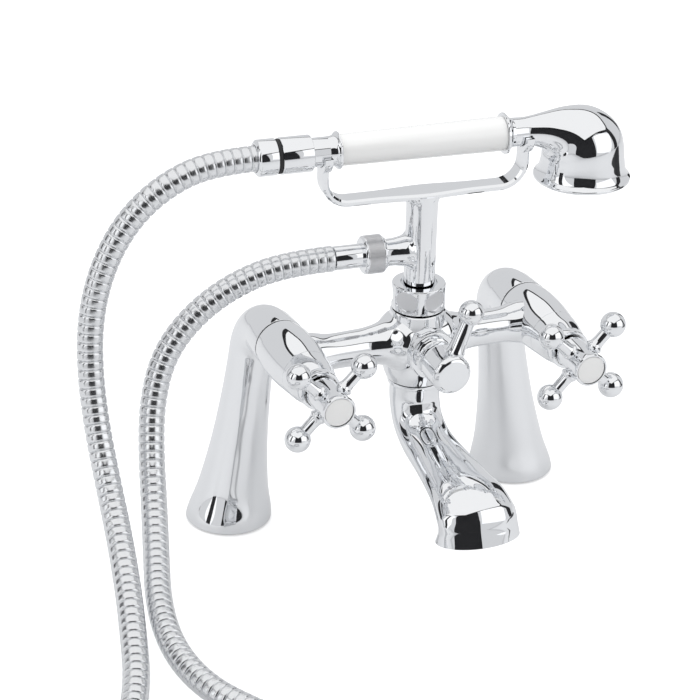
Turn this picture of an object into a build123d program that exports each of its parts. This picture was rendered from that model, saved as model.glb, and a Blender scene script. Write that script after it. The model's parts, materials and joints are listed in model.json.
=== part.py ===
from build123d import *
import os
from math import asin, cos, degrees, dist, pi, radians, sin, sqrt, tan

# A deck-mounted bath and shower mixer. X runs along the bath's edge, hot side at -X. -Y points to
# the user and +Z up. The deck's top face is Z = 0, and the origin lies midway between the pillars.
# Lengths are millimetres and angles degrees.

# Deck, pillars and the valve line
deck_centres = 182.0          # tap holes in the deck
valve_centres = 150.0         # valves on the crossbar, so the pillars lean in
valve_height = 126.0          # valve and crossbar axis above the deck
bar_forward = 54.4            # crossbar axis in front of the pillars
bar_radius = 10.2
seal_thickness = 1.6          # foam seal under each pillar's foot

# Clearances
seat_gap = 0.05               # radial gap of a piece pushed or screwed into another
run_gap = 0.05                # radial gap of a shaft that turns
face_gap = 0.1                # gap between faces that slide past each other
rest_gap = 0.3                # what a loose piece keeps from its cradle
overrun = 1.0                 # how far a cutting tool runs past a face

# Pillars
foot_radius = 24.8
pillar_neck_radius = 13.3
elbow_bend = 20.0             # radius of the elbow's centre line
elbow_radius = 13.9           # tube where the elbow meets its collar
spigot_radius = 11.0
spigot_bore = 7.5
spigot_bore_depth = 12.0
tail_socket_depth = 12.0
# Each pair is a share of the straight height and a share of the flare from neck to foot.
pillar_flare_shares = [(0, 1), (0.05, 0.94), (0.2, 0.56), (0.45, 0.26), (0.7, 0.09), (0.88, 0.02)]
elbow_turns = [0, 30, 60, 90]

# Inlet tails, their backnuts and washers under the deck
tail_radius = 13.2            # three-quarter inch pipe thread
tail_bore = 9.0
tail_length = 55.0            # below the deck
deck_thickness = 18.0         # thickness of deck that the tails are set for
backnut_flats = 36.0
backnut_height = 8.0
relief_width = 1.2            # groove that ends the supply's thread below the backnut
relief_depth = 0.8
washer_radius = 21.0
washer_thickness = 2.0

# Union collars between elbow and body
union_forward = 37.0          # front face of the collar, in front of the pillar line
collar_back_radius = 14.5
collar_radius = 15.0
union_seal_thickness = 0.9
union_seal_radius = 14.4

# Valve barrels of the body
barrel_radius = 15.1
barrel_swell = 0.9            # how far the barrel swells past its ends
barrel_front_radius = 14.3
barrel_length = 38.2
cartridge_radius = 9.9
cartridge_back = 54.0         # from the pillar line
cartridge_wall = 1.5
shroud_front_radius = 11.7
shroud_length = 16.0
bonnet_radius = 11.5
bonnet_length = 4.8

# Valve insides
disc_thickness = 3.0
disc_lift = 2.0
spindle_radius = 4.0
spindle_collar = 2.6

# Cross handles
hub_back = 98.3               # from the pillar line
hub_length = 25.2
hub_radius = 9.0
hub_front_radius = 9.6
hub_socket_depth = 8.0
index_radius = 8.4
index_thickness = 1.4
index_rim = 0.35              # how far the index disc lies back from the hub's rim
arm_forward = 111.0           # plane of the arms, from the pillar line
ball_reach = 26.7
ball_radius = 7.2
arm_radius = 3.5
arm_bead_radius = 4.7
arm_bead_length = 2.6
arm_shank_radius = 2.4
arm_shank_length = 3.0
hot_arm_angle = 45.5
cold_arm_angle = 47.0
arm_turns = [0, 90, 180, 270]

# Mixing chamber
chamber_drop = 23.0           # chamber's base below the valve axis
chamber_rise = 20.2           # its top above the valve axis
chamber_belly_radius = 19.2
# Each pair is a share of the chamber's height and a share of its largest radius.
chamber_shares = [(0, 0.86), (0.13, 0.96), (0.3, 1.0), (0.5, 0.98), (0.7, 0.915), (0.87, 0.84), (1, 0.787)]
neck_height = 8.0             # threaded neck inside the riser nut
neck_radius = 12.3
flare_radius = 18.0           # crossbar where it meets the chamber
root_flare = 2.2              # how far the crossbar swells where it meets a barrel

# Diverter
boss_radius = 13.6
boss_forward = 74.2           # from the pillar line
flange_radius = 14.0
flange_length = 4.4
step_radius = 9.6
step_length = 8.2
diverter_core_radius = 8.0
diverter_core_depth = 21.0
stem_radius = 3.6
knob_radius = 11.3
knob_length = 18.6
knob_face_radius = 7.8
knob_edge = 3.4
lever_forward = 97.5          # plane of the lever, from the pillar line
lever_angle = 20.5            # from upright, towards the cold side
lever_reach = 35.7
lever_root_radius = 5.0
lever_tip_radius = 3.6
lever_ball_radius = 7.1
lever_shank_radius = 3.0
lever_shank_length = 4.0

# Spout
spout_ring_radius = 15.7
spout_ring_length = 3.4
spout_spigot_radius = 10.5
spout_spigot_length = 7.0
spout_radius = 14.3
spout_reach = 91.0            # mouth's centre in front of the chamber's axis
spout_mouth_height = 47.0     # mouth above the deck
spout_mouth_width = 49.0
spout_mouth_depth = 31.0
spout_wall = 2.2
# Each row is a share of the reach, a share of the drop from ring to mouth, the section's turn from
# level, and shares of the mouth's width and depth.
spout_shares = [
    (0.0, 0.0, 0, 0.584, 0.923), (0.005, 0.20, 8, 0.58, 0.91), (0.07, 0.42, 42, 0.582, 0.845),
    (0.22, 0.555, 75, 0.604, 0.742), (0.45, 0.60, 84, 0.673, 0.68), (0.69, 0.632, 86, 0.784, 0.665),
    (0.845, 0.67, 72, 0.869, 0.742), (0.965, 0.765, 42, 0.931, 0.99), (1.0, 0.88, 10, 0.955, 0.955),
    (1.0, 1.0, 0, 1.0, 1.0)]

# Riser, its union nut and the cradle
riser_turn = 4.2              # how far the riser was left turned, clockwise from above
riser_nut_radius = 15.0
riser_nut_height = 14.8
riser_nut_hole = 10.4
riser_nut_lip = 2.6
scallop_radius = 9.7
scallop_depth = 2.1
scallop_count = 6
scallop_angle = 33.0
scallop_height_share = 0.47
riser_washer_thickness = 1.8
riser_foot_thickness = 2.4
riser_radius = 8.8
riser_flare_radius = 10.6
strap_rise = 36.0             # strap's top above the branch's axis
strap_width = 11.5
strap_thickness = 3.8
strap_bend_share = 0.686      # the strap's two bends, as a share of its upright legs
strap_bevel = 1.1
fork_reach = 59.3             # fork's middle from the riser's axis
fork_thickness = 4.6
fork_wall = 3.2

# Shower outlet branch
branch_rise = 20.0            # branch's axis above the riser nut
branch_radius = 7.7
branch_flare = 3.4
branch_length = 28.0
branch_thread_radius = 8.7
branch_thread_length = 6.0
outlet_nut_radius = 10.8
outlet_nut_length = 12.4
outlet_nut_chamfer = 1.2
outlet_nut_lip = 2.8
outlet_washer_thickness = 1.5
ferrule_radius = 6.7
ferrule_length = 19.6         # in front of its flange
ferrule_flange = 1.5
ferrule_bore = 3.6
check_valve_radius = 5.2
check_valve_length = 9.0

# Handset
handset_rise = 28.2           # handset's axis above the strap's top
handset_neck_radius = 8.1
sleeve_back = -49.6           # sleeve's ends, from the riser's axis
sleeve_front = 48.0
sleeve_back_radius = 8.7
sleeve_front_radius = 9.6
core_radius = 6.0
core_socket = 5.0             # how far the core tube enters the tail and the front collar
tail_lip_radius = 10.4
tail_lip_length = 3.2
tail_neck_end = -65.5         # where the neck meets the swivel
tail_thread_radius = 8.5
tail_thread_length = 8.0
front_lip_radius = 11.5
front_collar_length = 5.2
head_axis = 97.6              # bell's axis from the riser's axis
head_drop = 40.6              # mouth's middle below the handset's axis
head_mouth_radius = 27.0
head_lip = 2.0
head_neck_radius = 7.9
rose_radius = 23.5
rose_thickness = 2.6
rose_recess = 1.4             # how far the rose lies back from the rim
rose_hole_radius = 0.9
rose_ring_counts = [1, 6, 12]
rose_ring_pitch = 7.0
rose_seal_radius = 24.6
# Each row is a share of the way from collar to bell axis, a share of the drop from handset axis to
# mouth, the section's turn from upright, and a share of the mouth's radius.
head_shares = [
    (0.0, 0.0, 0, 0.30), (0.21, 0.0, 0, 0.288), (0.44, 0.02, 15, 0.34), (0.68, 0.095, 36, 0.49),
    (0.87, 0.235, 60, 0.69), (0.965, 0.43, 82, 0.81), (0.99, 0.66, 90, 0.845), (0.995, 0.83, 90, 0.91),
    (1.0, 0.95, 90, 1.0)]

# Hose swivel
swivel_radius = 10.1
swivel_front_end = -96.5      # open end, from the riser's axis
swivel_split = -84.0          # middle of the black ring
swivel_ring_width = 2.4
swivel_ring_radius = 9.5
swivel_journal_radius = 6.3
swivel_flange_radius = 7.4
swivel_flange = 1.5
swivel_wall = 5.6             # wall that the journal turns in
swivel_edge = 1.4
swivel_mouth_radius = 7.4
swivel_mouth_depth = 2.0

# Shower hose: a free run to each fitting and the coil between them
hose_radius = 7.2
hose_bore = 4.2
hose_straight = 26.5          # straight out of the handset
outlet_straight = 28.0        # straight out of the outlet
arc_share = 0.45              # share of the shorter run that each arc takes up
hose_lift = 0.1               # clearance from the deck
coil_radius = 83.5
coil_centre = (-206.5, -323.5)
coil_points = 24
coil_first_angle = 143.0      # first point's angle about the coil's centre
coil_last_angle = 748.0
coil_climb = 16.0             # the second turn lies on the first
climb_first_angle = 369.0     # the climb's angles
climb_last_angle = 488.0
coil_exit = 4.0               # further climb at the way out
exit_first_angle = 713.0
gap_step = 4.0                # spacing of the points that the hose's gap to itself is measured on
gap_span = 70.0               # points closer than this along the hose are neighbours
# The runs' corner points from each fitting to the coil.
handset_route = [
    (-147, -45, 235.3), (-167.2, -43.8, 217), (-181.2, -44.4, 192.5), (-189, -46.8, 164.5),
    (-191.4, -53.5, 135), (-191.2, -64, 107.5), (-190.8, -80, 83.5), (-192.2, -103, 62.7),
    (-196.3, -130, 45.5), (-202.2, -156, 32.8), (-209.5, -184, 20.5), (-228, -219.5, 9.5)]
outlet_route = [
    (-107, -45.8, 171.8), (-131, -45.8, 156.3), (-148.2, -48, 136), (-156.8, -54.5, 111.5),
    (-161.2, -66, 88), (-165.9, -84, 67.5), (-173, -108, 51), (-181.7, -136, 38.5),
    (-185.7, -166, 31), (-183, -198, 28.2), (-172, -228, 27.6)]


def frame(origin, x_dir, z_dir):
    """A placement whose Z axis points along z_dir."""
    return Location(Plane(origin=origin, x_dir=x_dir, z_dir=z_dir))


def lathe(place, *runs):
    """Turn an outline about the Z axis of place.

    Each run is a list of (distance along the axis, radius) points, or a tuple of them for a smooth
    curve. Straight lines join one run to the next and close the outline.
    """
    edges = []
    first = last = None
    for run in runs:
        points = [(radius, along) for along, radius in run]
        if last is None:
            first = points[0]
        elif dist(last, points[0]) > 0:
            edges.append(Line(last, points[0]))
        if isinstance(run, tuple):
            edges.append(Spline(*points))
        elif points[0] != points[-1]:
            edges.append(Polyline(*points))
        last = points[-1]
    edges.append(Line(last, first))
    return place * revolve(Plane.XZ * make_face(edges), axis=Axis.Z)


def tube(place, start, end, outer, inner=0):
    """A plain cylinder or ring from start to end along the Z axis of place."""
    return lathe(place, [(start, inner), (start, outer), (end, outer), (end, inner)])


def save(node, shape, colour=None):
    """Write one node's STEP file."""
    solids = shape.solids() if hasattr(shape, "solids") else [s for item in shape for s in item.solids()]
    body = solids[0] if len(solids) == 1 else Compound(children=list(solids))
    body.label = node
    export_step(body, f"parts/{node}.step")


os.makedirs("parts", exist_ok=True)

chamber_base = valve_height - chamber_drop
chamber_top = valve_height + chamber_rise
nut_top = chamber_top + riser_nut_height
branch_height = nut_top + branch_rise
strap_top = branch_height + strap_rise
handset_height = strap_top + handset_rise

# Placements. Distances along a valve or diverter axis are counted forward from the pillar line.
forward = (0, -1, 0)
riser_along = (cos(radians(riser_turn)), -sin(radians(riser_turn)), 0)
riser = frame((0, -bar_forward, 0), riser_along, (0, 0, 1))
chamber = frame((0, -bar_forward, 0), (1, 0, 0), (0, 0, 1))
bar = frame((0, -bar_forward, valve_height), (0, 1, 0), (1, 0, 0))
diverter = frame((0, 0, valve_height), (1, 0, 0), forward)
handset = riser * frame((0, 0, handset_height), (0, 1, 0), (1, 0, 0))
branch = riser * frame((0, 0, branch_height), (0, 1, 0), (-1, 0, 0))


def valve(side):
    return frame((side * valve_centres / 2, 0, valve_height), (1, 0, 0), forward)


# Pillars and deck fittings
bend_base = valve_height - elbow_bend
lean = (deck_centres - valve_centres) / 2 / valve_height


def pillar(side):
    """A flared foot that leans in, turned forward at the top into a level spigot."""
    def section(y, z, turn, radius):
        x = side * (valve_centres / 2 + lean * (valve_height - z))
        place = frame((x, y, z), (1, 0, 0), (0, -sin(radians(turn)), cos(radians(turn))))
        return place * Circle(radius)

    sections = []
    for height, flare in pillar_flare_shares:
        z = seal_thickness + height * (bend_base - seal_thickness)
        sections.append(section(0, z, 0, pillar_neck_radius + flare * (foot_radius - pillar_neck_radius)))
    for turn in elbow_turns:
        y = -elbow_bend * (1 - cos(radians(turn)))
        z = bend_base + elbow_bend * sin(radians(turn))
        radius = pillar_neck_radius + (elbow_radius - pillar_neck_radius) * turn / elbow_turns[-1]
        sections.append(section(y, z, turn, radius))
    shape = loft(sections)
    shape += tube(valve(side), elbow_bend - overrun, union_forward, spigot_radius)
    shape -= tube(valve(side), union_forward - spigot_bore_depth, union_forward + overrun, spigot_bore)
    socket = frame((side * deck_centres / 2, 0, 0), (1, 0, 0), (0, 0, 1))
    shape -= tube(socket, 0, seal_thickness + tail_socket_depth, tail_radius + seat_gap)
    return shape


for name, side in (("hot", -1), ("cold", 1)):
    down = frame((side * deck_centres / 2, 0, 0), (1, 0, 0), (0, 0, -1))
    save(f"{name}_pillar", pillar(side))
    save(f"{name}_foot_seal", tube(down, -seal_thickness, 0, foot_radius - overrun, tail_radius + seat_gap))
    washer_end = deck_thickness + washer_thickness
    relief = washer_end + backnut_height + relief_width
    tail = tube(down, -seal_thickness - tail_socket_depth, tail_length, tail_radius, tail_bore)
    tail -= tube(down, relief, relief + relief_width, tail_radius + overrun, tail_radius - relief_depth)
    save(f"{name}_inlet_tail", tail)
    save(f"{name}_deck_washer", tube(down, deck_thickness, washer_end, washer_radius, tail_radius + seat_gap))
    hexagon = RegularPolygon(backnut_flats / 2, side_count=6, major_radius=False)
    backnut = down * (Pos(0, 0, washer_end) * extrude(hexagon, backnut_height))
    backnut -= tube(down, washer_end - overrun, washer_end + backnut_height + overrun, tail_radius + seat_gap)
    save(f"{name}_backnut", backnut)
    save(f"{name}_union_collar", lathe(
        valve(side),
        [(elbow_bend, spigot_radius + seat_gap), (elbow_bend, collar_back_radius)],
        [(union_forward - overrun, collar_radius), (union_forward, collar_radius - overrun / 2),
         (union_forward, spigot_radius + seat_gap)]))
    save(f"{name}_union_seal", tube(
        valve(side), union_forward, union_forward + union_seal_thickness, union_seal_radius, spigot_bore))

# The body: barrels, crossbar, chamber
barrel_back = union_forward + union_seal_thickness
barrel_front = barrel_back + barrel_length
shroud_front = barrel_front + shroud_length
cartridge_front = shroud_front + bonnet_length


def barrel(side):
    swell = barrel_radius + barrel_swell
    return lathe(
        valve(side), [(barrel_back, 0)],
        ((barrel_back, barrel_radius), (barrel_back + barrel_length / 4, swell),
         (barrel_back + barrel_length * 0.6, swell - barrel_swell / 4), (barrel_front, barrel_front_radius)),
        [(barrel_front, 0)])


def half_bar(side):
    """One arm of the crossbar, swollen where it meets the chamber and the barrel."""
    span = valve_centres / 2
    return lathe(
        frame((0, -bar_forward, valve_height), (0, 1, 0), (side, 0, 0)),
        [(0, 0), (0, flare_radius)],
        ((span * 0.17, flare_radius), (span * 0.28, bar_radius * 1.24), (span * 0.40, bar_radius * 1.04),
         (span * 0.52, bar_radius), (span * 0.70, bar_radius), (span * 0.85, bar_radius + root_flare)),
        [(span, bar_radius + root_flare), (span, 0)])


body = lathe(
    chamber, [(chamber_base, 0)],
    tuple((chamber_base + height * (chamber_top - chamber_base), swell * chamber_belly_radius)
          for height, swell in chamber_shares),
    [(chamber_top, neck_radius), (chamber_top + neck_height, neck_radius), (chamber_top + neck_height, 0)])
body += tube(diverter, bar_forward, boss_forward, boss_radius)
for side in (-1, 1):
    body += half_bar(side)
    body += barrel(side)
for side in (-1, 1):
    body -= tube(valve(side), barrel_back - overrun, cartridge_back, spigot_bore)
    body -= tube(valve(side), cartridge_back, barrel_front + overrun, cartridge_radius + seat_gap)
core_back = boss_forward - diverter_core_depth
body -= tube(diverter, core_back, boss_forward + overrun, diverter_core_radius + seat_gap)
body -= tube(chamber, chamber_base - overrun, chamber_base + spout_spigot_length + face_gap,
             spout_spigot_radius + seat_gap)
save("mixer_body", body)

# Valves and their handles
disc_pocket = cartridge_back + cartridge_wall
fixed_disc_end = disc_pocket + disc_thickness
moving_disc_end = fixed_disc_end + disc_lift
spindle_collar_end = moving_disc_end + spindle_collar
disc_radius = cartridge_radius - cartridge_wall
hub_front = hub_back + hub_length

for name, side, angle in (("hot", -1, hot_arm_angle), ("cold", 1, cold_arm_angle)):
    cartridge = tube(valve(side), cartridge_back, cartridge_front, cartridge_radius)
    cartridge -= tube(valve(side), cartridge_back - overrun, spindle_collar_end + face_gap,
                      disc_radius + seat_gap)
    cartridge -= tube(valve(side), cartridge_back, cartridge_front + overrun, spindle_radius + run_gap)
    save(f"{name}_cartridge", cartridge)
    save(f"{name}_fixed_disc", tube(valve(side), disc_pocket, fixed_disc_end, disc_radius, spindle_radius / 2))
    save(f"{name}_shroud", lathe(
        valve(side), [(barrel_front, cartridge_radius + seat_gap), (barrel_front, barrel_front_radius)],
        ((barrel_front, barrel_front_radius), (barrel_front + shroud_length * 0.55, barrel_front_radius * 0.93),
         (shroud_front, shroud_front_radius)),
        [(shroud_front, cartridge_radius + seat_gap)]))
    save(f"{name}_bonnet", lathe(
        valve(side), [(shroud_front, cartridge_radius + seat_gap), (shroud_front, bonnet_radius)],
        [(cartridge_front - overrun, bonnet_radius), (cartridge_front, bonnet_radius - overrun),
         (cartridge_front, cartridge_radius + seat_gap)]))

    socket_end = hub_back + hub_socket_depth
    save(f"{name}_moving_disc", tube(
        valve(side), fixed_disc_end, moving_disc_end, disc_radius - face_gap, spindle_radius / 2))
    spindle = tube(valve(side), moving_disc_end, spindle_collar_end, disc_radius - face_gap)
    spindle += tube(valve(side), moving_disc_end, socket_end, spindle_radius)
    save(f"{name}_spindle", spindle)
    hub = lathe(
        valve(side), [(hub_back, 0), (hub_back, hub_radius - overrun / 2), (hub_back + overrun / 2, hub_radius)],
        ((hub_back + overrun / 2, hub_radius), (hub_back + hub_length * 0.5, hub_radius),
         (hub_front - overrun * 2, hub_front_radius)),
        [(hub_front - overrun / 2, hub_front_radius), (hub_front, hub_front_radius - overrun / 2),
         (hub_front, 0)])
    hub -= tube(valve(side), hub_back - overrun, socket_end, spindle_radius + seat_gap)
    hub -= tube(valve(side), hub_front - index_rim - index_thickness, hub_front + overrun, index_radius + seat_gap)
    arms = []
    for turn in arm_turns:
        reach = radians(angle + turn)
        out = valve(side) * frame((0, 0, arm_forward), (0, 0, 1), (cos(reach), sin(reach), 0))
        bead_back = hub_front_radius
        shank_back = bead_back - arm_shank_length
        hub -= tube(out, shank_back, bead_back + overrun, arm_shank_radius + seat_gap)
        arm = tube(out, bead_back, ball_reach, arm_radius) + tube(out, shank_back, ball_reach, arm_shank_radius)
        arm += lathe(
            out, [(bead_back, 0), (bead_back, arm_bead_radius)],
            ((bead_back + arm_bead_length / 2, arm_bead_radius), (bead_back + arm_bead_length, arm_radius),
             (bead_back + arm_bead_length * 2, arm_radius)),
            [(bead_back + arm_bead_length * 2, 0)])
        arm += out * (Pos(0, 0, ball_reach) * Sphere(ball_radius))
        arms.append(arm)
    save(f"{name}_handle_hub", hub)
    save(f"{name}_handle_arms", arms)
    index_front = hub_front - index_rim
    save(f"{name}_index_disc", tube(valve(side), index_front - index_thickness, index_front, index_radius))

# Diverter
flange_front = boss_forward + flange_length
step_front = flange_front + step_length
flange = lathe(
    diverter, [(boss_forward, stem_radius + run_gap), (boss_forward, flange_radius)],
    [(flange_front - overrun, flange_radius), (flange_front, flange_radius - overrun),
     (flange_front, step_radius + overrun)],
    ((flange_front + overrun, step_radius), (flange_front + step_length / 2, step_radius * 0.93),
     (step_front, step_radius)),
    [(step_front, stem_radius + run_gap)])
save("diverter_flange", flange)
core = tube(diverter, core_back, boss_forward, diverter_core_radius)
rotor_radius = diverter_core_radius - spout_wall
rotor_end = core_back + diverter_core_depth * 0.6
core -= tube(diverter, core_back - overrun, rotor_end + face_gap, rotor_radius + run_gap)
core -= tube(diverter, core_back, boss_forward + overrun, stem_radius + run_gap)
save("diverter_core", core)
knob_back = step_front + face_gap
knob_front = knob_back + knob_length
stem_end = knob_back + knob_length / 2
rotor = tube(diverter, core_back + face_gap, rotor_end, rotor_radius)
rotor += tube(diverter, core_back + face_gap, stem_end, stem_radius)
save("diverter_rotor", rotor)
knob = lathe(
    diverter, [(knob_back, 0), (knob_back, knob_radius - overrun), (knob_back + overrun, knob_radius)],
    ((knob_front - knob_edge, knob_radius), (knob_front - knob_edge * 0.3, knob_radius - knob_edge * 0.3),
     (knob_front, knob_face_radius)),
    [(knob_front, 0)])
knob -= tube(diverter, knob_back - overrun, stem_end, stem_radius + seat_gap)
swing = radians(90 - lever_angle)
lever_out = diverter * frame((0, 0, lever_forward), (0, 0, 1), (cos(swing), sin(swing), 0))
knob -= tube(lever_out, knob_radius - lever_shank_length, knob_radius + overrun, lever_shank_radius + seat_gap)
lever = lathe(
    lever_out, [(knob_radius, 0), (knob_radius, lever_root_radius), (lever_reach, lever_tip_radius), (lever_reach, 0)])
lever += tube(lever_out, knob_radius - lever_shank_length, lever_reach, lever_shank_radius)
lever += lever_out * (Pos(0, 0, lever_reach) * Sphere(lever_ball_radius))
save("diverter_knob", knob)
save("diverter_lever", lever)

# Spout
ring_base = chamber_base - spout_ring_length
spout_drop = ring_base - spout_mouth_height


def spout_section(row, inset):
    reach, drop, turn, width, depth = row
    place = frame((0, -bar_forward - reach * spout_reach, ring_base - drop * spout_drop),
                  (1, 0, 0), (0, -sin(radians(turn)), -cos(radians(turn))))
    return place * Ellipse(width * spout_mouth_width / 2 - inset, depth * spout_mouth_depth / 2 - inset)


spout = loft([spout_section(row, 0) for row in spout_shares])
spout += lathe(chamber, [(ring_base, 0), (ring_base, spout_ring_radius - overrun / 2),
                         (ring_base + overrun / 2, spout_ring_radius), (chamber_base, spout_ring_radius),
                         (chamber_base, spout_spigot_radius),
                         (chamber_base + spout_spigot_length, spout_spigot_radius),
                         (chamber_base + spout_spigot_length, 0)])
mouth = spout_section(spout_shares[-1], spout_wall)
roof = spout_section(spout_shares[-3], spout_wall * 2)
spout -= loft([roof, spout_section(spout_shares[-2], spout_wall), mouth])
spout -= extrude(mouth, overrun)
save("spout", spout)

# Riser nut, riser and cradle
washer_base = chamber_top + neck_height
foot_base = washer_base + riser_washer_thickness
foot_top = foot_base + riser_foot_thickness
nut = tube(chamber, chamber_top, nut_top, riser_nut_radius, neck_radius + seat_gap)
nut_lip = foot_top + face_gap
nut += tube(chamber, nut_lip, nut_top, neck_radius + overrun, riser_nut_hole)
scallop_reach = riser_nut_radius - scallop_depth + scallop_radius
for index in range(scallop_count):
    tangent = Rot(0, 0, scallop_angle + index * 360 / scallop_count) * frame((scallop_reach, 0, 0), (0, 0, 1), (0, 1, 0))
    scallop = Pos(0, 0, chamber_top + riser_nut_height * scallop_height_share) * tangent
    nut -= chamber * (scallop * Cylinder(scallop_radius, riser_nut_radius * 2))
save("riser_nut", nut)
save("riser_washer", tube(chamber, washer_base, foot_base, neck_radius - overrun, check_valve_radius))

strap_base = strap_top - strap_thickness
stem = lathe(
    riser, [(foot_base, 0), (foot_base, neck_radius), (foot_top, neck_radius), (foot_top, riser_radius)],
    [(strap_base - riser_radius, riser_radius)],
    ((strap_base - riser_radius, riser_radius), (strap_base - riser_radius * 0.4, riser_radius * 1.05),
     (strap_base, riser_flare_radius)),
    [(strap_top - overrun, riser_flare_radius), (strap_top, riser_flare_radius - overrun), (strap_top, 0)])
half = strap_thickness / 2
fork_base = handset_height - handset_neck_radius - rest_gap - fork_wall
fork_bore = handset_neck_radius + rest_gap
strap_bend = strap_bend_share * (fork_base - strap_base)
outer_x = fork_reach + half
inner_x = fork_reach - half
outer = FilletPolyline((-outer_x, fork_base), (-outer_x, strap_base), (outer_x, strap_base), (outer_x, fork_base),
                       radius=strap_bend + half)
inner = FilletPolyline((inner_x, fork_base), (inner_x, strap_top), (-inner_x, strap_top), (-inner_x, fork_base),
                       radius=strap_bend - half)
outline = make_face([*outer.edges(), Line(outer @ 1, inner @ 0), *inner.edges(), Line(inner @ 1, outer @ 0)])
strap = extrude(Plane.XZ * outline, strap_width / 2, both=True)
strap = chamfer([edge for face in (strap.faces().sort_by(Axis.Y)[0], strap.faces().sort_by(Axis.Y)[-1])
                 for edge in face.edges()], strap_bevel)
cradle = stem + riser * strap
for side in (-1, 1):
    fork = frame((side * fork_reach, 0, handset_height), (0, 1, 0), (1, 0, 0))
    ring = tube(fork, -fork_thickness / 2, fork_thickness / 2, fork_bore + fork_wall, fork_bore)
    gap = Pos(side * fork_reach, 0, handset_height + fork_bore + overrun) * Box(
        fork_thickness + overrun, 4 * fork_bore, 2 * fork_bore)
    post_height = handset_height - fork_bore - overrun / 2 - fork_base
    post = Pos(side * fork_reach, 0, fork_base + post_height / 2 - overrun) * Box(
        strap_thickness, strap_width, post_height + overrun)
    post -= tube(fork, -fork_thickness, fork_thickness, fork_bore)
    cradle += riser * (ring - gap)
    cradle += riser * post
branch_end = branch_length - branch_thread_length
cradle += lathe(
    branch, [(0, 0), (0, branch_radius + branch_flare)],
    ((riser_radius * 0.8, branch_radius + branch_flare), (riser_radius * 1.15, branch_radius + branch_flare * 0.35),
     (riser_radius * 1.8, branch_radius)),
    [(branch_end - overrun, branch_radius), (branch_end - overrun, branch_thread_radius),
     (branch_length, branch_thread_radius), (branch_length, 0)])
cradle -= tube(branch, branch_length - check_valve_length, branch_length + overrun, check_valve_radius + seat_gap)
cradle -= tube(riser, foot_base - overrun, foot_base + riser_foot_thickness * 3, check_valve_radius)
save("riser_cradle", cradle)
save("check_valve", tube(branch, branch_length - check_valve_length, branch_length, check_valve_radius, stem_radius))

ferrule_back = branch_length + outlet_washer_thickness
ferrule_front = ferrule_back + ferrule_flange + ferrule_length
nut_back = branch_end
lip_back = ferrule_back + ferrule_flange + face_gap
nut_end = nut_back + outlet_nut_length
save("outlet_washer", tube(branch, branch_length, ferrule_back, branch_thread_radius - face_gap, ferrule_bore))
ferrule = tube(branch, ferrule_back, ferrule_front, ferrule_radius, ferrule_bore)
ferrule += tube(branch, ferrule_back, ferrule_back + ferrule_flange, branch_thread_radius - face_gap, ferrule_bore)
save("outlet_ferrule", ferrule)
save("outlet_nut", lathe(
    branch,
    [(nut_back, branch_thread_radius + seat_gap), (nut_back, outlet_nut_radius - outlet_nut_chamfer),
     (nut_back + outlet_nut_chamfer, outlet_nut_radius), (nut_end - outlet_nut_chamfer, outlet_nut_radius),
     (nut_end, outlet_nut_radius - outlet_nut_chamfer), (nut_end, ferrule_radius + seat_gap),
     (lip_back, ferrule_radius + seat_gap), (lip_back, branch_thread_radius + seat_gap)]))

# Handset
tail = lathe(
    handset, [(tail_neck_end - tail_thread_length, 0), (tail_neck_end - tail_thread_length, tail_thread_radius),
              (tail_neck_end, tail_thread_radius)],
    [(tail_neck_end, handset_neck_radius), (sleeve_back - tail_lip_length * 1.6, handset_neck_radius)],
    ((sleeve_back - tail_lip_length * 1.6, handset_neck_radius),
     (sleeve_back - tail_lip_length * 0.9, handset_neck_radius * 1.06),
     (sleeve_back - overrun, tail_lip_radius)),
    [(sleeve_back, tail_lip_radius), (sleeve_back, 0)])
tail -= tube(handset, sleeve_back - core_socket, sleeve_back + overrun, core_radius + seat_gap)
tail -= tube(handset, tail_neck_end - tail_thread_length - overrun, sleeve_back, ferrule_bore)
save("handset_tail", tail)
save("handset_core_tube", tube(
    handset, sleeve_back - core_socket, sleeve_front + front_collar_length, core_radius, ferrule_bore))
save("handset_sleeve", lathe(
    handset, [(sleeve_back, core_radius + seat_gap), (sleeve_back, sleeve_back_radius),
              (sleeve_front, sleeve_front_radius), (sleeve_front, core_radius + seat_gap)]))
collar_front = sleeve_front + front_collar_length
save("handset_collar", lathe(
    handset, [(sleeve_front, core_radius + seat_gap), (sleeve_front, front_lip_radius),
              (sleeve_front + overrun, front_lip_radius)],
    ((sleeve_front + overrun, front_lip_radius), (sleeve_front + front_collar_length * 0.5, handset_neck_radius * 1.12),
     (collar_front, handset_neck_radius)),
    [(collar_front, core_radius + seat_gap)]))

head_reach = head_axis - collar_front


def head_section(row, inset=0):
    reach, drop, turn, radius = row
    place = riser * frame((collar_front + reach * head_reach, 0, handset_height - drop * head_drop),
                          (0, 1, 0), (cos(radians(turn)), 0, -sin(radians(turn))))
    return place * Circle(radius * head_mouth_radius - inset)


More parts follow.
